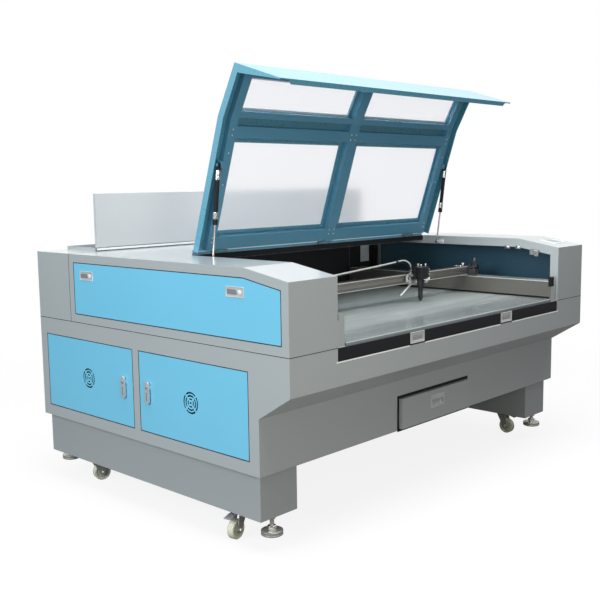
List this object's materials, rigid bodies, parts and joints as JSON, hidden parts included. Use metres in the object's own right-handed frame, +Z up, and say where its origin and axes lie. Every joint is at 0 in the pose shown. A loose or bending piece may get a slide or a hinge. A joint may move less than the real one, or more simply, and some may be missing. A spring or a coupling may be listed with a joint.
{
  "type": "fabric laser cutting machine",
  "caption": "Wide laser cutter for cloth: a folded-sheet cabinet on casters, with a hinged window hood, a moving gantry over the table, side doors and a drawer.",
  "frame": {"origin": "on the floor, under the middle of the cabinet", "axes": "+X to the operator's right along the width, -Y towards the operator at the front, +Z up"},
  "size_m": [2.111, 1.556, 1.7698],
  "materials": {
    "body_grey": "fine textured powder coat",
    "plinth_grey": "fine textured powder coat",
    "door_blue": "satin powder coat",
    "hood_blue": "satin powder coat",
    "frame_blue": "painted tube",
    "hatch_grey": "satin powder coat",
    "pane": "frosted acrylic",
    "table": "glossy plate",
    "rail": "anodised extrusion",
    "steel": "brushed",
    "black_metal": "satin black",
    "black_case": "black anodised",
    "zinc": "satin plating",
    "bright": "bright plating",
    "membrane": "matte film",
    "hose": "soft tube",
    "tube_glass": "clear",
    "bracket": "machined",
    "caster_tread": "cast tread"
  },
  "bodies": {
    "cabinet": {"lower_body": "body_grey", "plinth_left": "plinth_grey", "plinth_right": "plinth_grey", "pod_left": "body_grey", "pod_right": "body_grey", "tube_housing": "body_grey", "top_deck": "body_grey", "work_table": "table", "rail_left": "rail", "rail_right": "rail", "laser_tube": "tube_glass", "tube_mounts": "bracket", "hinge_leaves": "black_metal", "control_panel": "membrane"},
    "flap": {"front_flap": "black_metal"},
    "flap_latch_l": {"flap_latch_left": "zinc"},
    "flap_latch_r": {"flap_latch_right": "zinc"},
    "gantry": {"gantry_beam": "rail", "gantry_ends": "bracket", "gantry_motor": "black_metal", "air_hose": "hose"},
    "head": {"head_carriage": "bracket", "laser_head": "black_case"},
    "nozzle_tube": {"nozzle": "black_case"},
    "tube_hatch": {"hatch": "hatch_grey"},
    "hood": {"lid_shell": "hood_blue", "lid_frame": "frame_blue", "lid_panes": "pane"},
    "strut_cylinder_l": {"strut_tube_left": "black_metal"},
    "strut_piston_l": {"strut_rod_left": "bright"},
    "strut_cylinder_r": {"strut_tube_right": "black_metal"},
    "strut_piston_r": {"strut_rod_right": "bright"},
    "side_door_l": {"upper_door_left": "door_blue"},
    "side_door_r": {"upper_door_right": "door_blue"},
    "side_latch_lr": {"upper_latch_left_rear": "zinc"},
    "side_latch_lf": {"upper_latch_left_front": "zinc"},
    "side_latch_rr": {"upper_latch_right_rear": "zinc"},
    "side_latch_rf": {"upper_latch_right_front": "zinc"},
    "lower_door_rear": {"rear_door": "door_blue"},
    "lower_door_front": {"front_door": "door_blue"},
    "handle_rear": {"rear_handle": "zinc"},
    "handle_front": {"front_handle": "zinc"},
    "drawer_box": {"drawer": "body_grey", "drawer_pull": "zinc"},
    "caster_fl": {"fork_fl": "black_metal"},
    "roller_fl": {"wheel_fl": "caster_tread"},
    "brake_fl": {"pedal_fl": "zinc"},
    "leveller_fl": {"foot_fl": "bright"},
    "caster_fr": {"fork_fr": "black_metal"},
    "roller_fr": {"wheel_fr": "caster_tread"},
    "brake_fr": {"pedal_fr": "zinc"},
    "leveller_fr": {"foot_fr": "bright"},
    "caster_rl": {"fork_rl": "black_metal"},
    "roller_rl": {"wheel_rl": "caster_tread"},
    "brake_rl": {"pedal_rl": "zinc"},
    "leveller_rl": {"foot_rl": "bright"},
    "caster_rr": {"fork_rr": "black_metal"},
    "roller_rr": {"wheel_rr": "caster_tread"},
    "brake_rr": {"pedal_rr": "zinc"},
    "leveller_rr": {"foot_rr": "bright"}
  },
  "joints": [
    {"name": "hood_hinge", "type": "hinge", "parent": "cabinet", "child": "hood", "pos_m": [0, 0.005, 1.043], "axis": [1, 0, 0], "range_deg": [0, 72]},
    {"name": "strut_swing_l", "type": "hinge", "parent": "hood", "child": "strut_cylinder_l", "pos_m": [-0.78, -0.14255, 1.39356], "axis": [1, 0, 0], "range_deg": [0, 10.09]},
    {"name": "strut_stroke_l", "type": "slide", "parent": "strut_cylinder_l", "child": "strut_piston_l", "axis": [0, -0.1215, 0.9926], "range_m": [0, 0.113]},
    {"name": "strut_swing_r", "type": "hinge", "parent": "hood", "child": "strut_cylinder_r", "pos_m": [0.78, -0.14255, 1.39356], "axis": [1, 0, 0], "range_deg": [0, 10.09]},
    {"name": "strut_stroke_r", "type": "slide", "parent": "strut_cylinder_r", "child": "strut_piston_r", "axis": [0, -0.1215, 0.9926], "range_m": [0, 0.113]},
    {"name": "hatch_hinge", "type": "hinge", "parent": "cabinet", "child": "tube_hatch", "pos_m": [0, 0.533, 1.043], "axis": [-1, 0, 0], "range_deg": [0, 90]},
    {"name": "flap_hinge", "type": "hinge", "parent": "cabinet", "child": "flap", "pos_m": [0, -0.772, 0.697], "axis": [1, 0, 0], "range_deg": [0, 90]},
    {"name": "flap_latch_l_pivot", "type": "hinge", "parent": "flap", "child": "flap_latch_l", "pos_m": [-0.333, -0.7735, 0.734], "axis": [-1, 0, 0], "range_deg": [0, 35]},
    {"name": "flap_latch_r_pivot", "type": "hinge", "parent": "flap", "child": "flap_latch_r", "pos_m": [0.333, -0.7735, 0.734], "axis": [-1, 0, 0], "range_deg": [0, 35]},
    {"name": "gantry_travel", "type": "slide", "parent": "cabinet", "child": "gantry", "axis": [0, 1, 0], "range_m": [-0.33, 0.68]},
    {"name": "head_travel", "type": "slide", "parent": "gantry", "child": "head", "axis": [1, 0, 0], "range_m": [-0.9, 0.4], "deforming": ["air_hose"]},
    {"name": "nozzle_focus", "type": "slide", "parent": "head", "child": "nozzle_tube", "axis": [0, 0, 1], "range_m": [-0.003, 0.007]},
    {"name": "side_door_l_hinge", "type": "hinge", "parent": "cabinet", "child": "side_door_l", "pos_m": [-1.047, 0, 0.786], "axis": [0, -1, 0], "range_deg": [0, 90]},
    {"name": "side_latch_lr_pivot", "type": "hinge", "parent": "side_door_l", "child": "side_latch_lr", "pos_m": [-1.0485, 0.397, 0.958], "axis": [0, 1, 0], "range_deg": [0, 35]},
    {"name": "side_latch_lf_pivot", "type": "hinge", "parent": "side_door_l", "child": "side_latch_lf", "pos_m": [-1.0485, -0.515, 0.958], "axis": [0, 1, 0], "range_deg": [0, 35]},
    {"name": "side_door_r_hinge", "type": "hinge", "parent": "cabinet", "child": "side_door_r", "pos_m": [1.047, 0, 0.786], "axis": [0, 1, 0], "range_deg": [0, 90]},
    {"name": "side_latch_rr_pivot", "type": "hinge", "parent": "side_door_r", "child": "side_latch_rr", "pos_m": [1.0485, 0.397, 0.958], "axis": [0, -1, 0], "range_deg": [0, 35]},
    {"name": "side_latch_rf_pivot", "type": "hinge", "parent": "side_door_r", "child": "side_latch_rf", "pos_m": [1.0485, -0.515, 0.958], "axis": [0, -1, 0], "range_deg": [0, 35]},
    {"name": "lower_door_rear_hinge", "type": "hinge", "parent": "cabinet", "child": "lower_door_rear", "pos_m": [-1.047, 0.717, 0.51], "axis": [0, 0, -1], "range_deg": [0, 105]},
    {"name": "lower_door_front_hinge", "type": "hinge", "parent": "cabinet", "child": "lower_door_front", "pos_m": [-1.047, -0.565, 0.51], "axis": [0, 0, 1], "range_deg": [0, 105]},
    {"name": "handle_rear_turn", "type": "hinge", "parent": "lower_door_rear", "child": "handle_rear", "pos_m": [-1.05, 0.155, 0.5325], "axis": [1, 0, 0], "range_deg": [0, 90]},
    {"name": "handle_front_turn", "type": "hinge", "parent": "lower_door_front", "child": "handle_front", "pos_m": [-1.05, -0.003, 0.5325], "axis": [-1, 0, 0], "range_deg": [0, 90]},
    {"name": "drawer_slide", "type": "slide", "parent": "cabinet", "child": "drawer_box", "axis": [0, -1, 0], "range_m": [0, 0.45]},
    {"name": "caster_fl_swivel", "type": "hinge", "parent": "cabinet", "child": "caster_fl", "pos_m": [-0.942, -0.402, 0.11], "axis": [0, 0, 1], "continuous": true},
    {"name": "caster_fl_roll", "type": "hinge", "parent": "caster_fl", "child": "roller_fl", "pos_m": [-0.97351, -0.40756, 0.038], "axis": [-0.1736, 0.9848, 0], "continuous": true},
    {"name": "caster_fl_brake", "type": "hinge", "parent": "caster_fl", "child": "brake_fl", "pos_m": [-0.95973, -0.40513, 0.0987], "axis": [0.1736, -0.9848, 0], "range_deg": [0, 15]},
    {"name": "leveller_fl_screw", "type": "slide", "parent": "cabinet", "child": "leveller_fl", "axis": [0, 0, 1], "range_m": [-0.052, 0.015]},
    {"name": "caster_fr_swivel", "type": "hinge", "parent": "cabinet", "child": "caster_fr", "pos_m": [0.942, -0.402, 0.11], "axis": [0, 0, 1], "continuous": true},
    {"name": "caster_fr_roll", "type": "hinge", "parent": "caster_fr", "child": "roller_fr", "pos_m": [0.942, -0.434, 0.038], "axis": [-1, 0, 0], "continuous": true},
    {"name": "caster_fr_brake", "type": "hinge", "parent": "caster_fr", "child": "brake_fr", "pos_m": [0.942, -0.42, 0.0987], "axis": [1, 0, 0], "range_deg": [0, 15]},
    {"name": "leveller_fr_screw", "type": "slide", "parent": "cabinet", "child": "leveller_fr", "axis": [0, 0, 1], "range_m": [-0.064, 0.011]},
    {"name": "caster_rl_swivel", "type": "hinge", "parent": "cabinet", "child": "caster_rl", "pos_m": [-0.942, 0.562, 0.11], "axis": [0, 0, 1], "continuous": true},
    {"name": "caster_rl_roll", "type": "hinge", "parent": "caster_rl", "child": "roller_rl", "pos_m": [-0.91109, 0.55372, 0.038], "axis": [-0.2588, -0.9659, 0], "continuous": true},
    {"name": "caster_rl_brake", "type": "hinge", "parent": "caster_rl", "child": "brake_rl", "pos_m": [-0.92461, 0.55734, 0.0987], "axis": [0.2588, 0.9659, 0], "range_deg": [0, 15]},
    {"name": "leveller_rl_screw", "type": "slide", "parent": "cabinet", "child": "leveller_rl", "axis": [0, 0, 1], "range_m": [-0.07, 0.005]},
    {"name": "caster_rr_swivel", "type": "hinge", "parent": "cabinet", "child": "caster_rr", "pos_m": [0.942, 0.562, 0.11], "axis": [0, 0, 1], "continuous": true},
    {"name": "caster_rr_roll", "type": "hinge", "parent": "caster_rr", "child": "roller_rr", "pos_m": [0.95028, 0.59291, 0.038], "axis": [0.9659, -0.2588, 0], "continuous": true},
    {"name": "caster_rr_brake", "type": "hinge", "parent": "caster_rr", "child": "brake_rr", "pos_m": [0.94666, 0.57939, 0.0987], "axis": [-0.9659, 0.2588, 0], "range_deg": [0, 15]},
    {"name": "leveller_rr_screw", "type": "slide", "parent": "cabinet", "child": "leveller_rr", "axis": [0, 0, 1], "range_m": [-0.07, 0.005]}
  ],
  "couplings": [
    {"joint": "strut_swing_l", "follows": "hood_hinge", "ratio": 0.136},
    {"joint": "strut_stroke_l", "follows": "hood_hinge", "m_per_rad": 0.08944},
    {"joint": "strut_swing_r", "follows": "hood_hinge", "ratio": 0.136},
    {"joint": "strut_stroke_r", "follows": "hood_hinge", "m_per_rad": 0.08944}
  ]
}
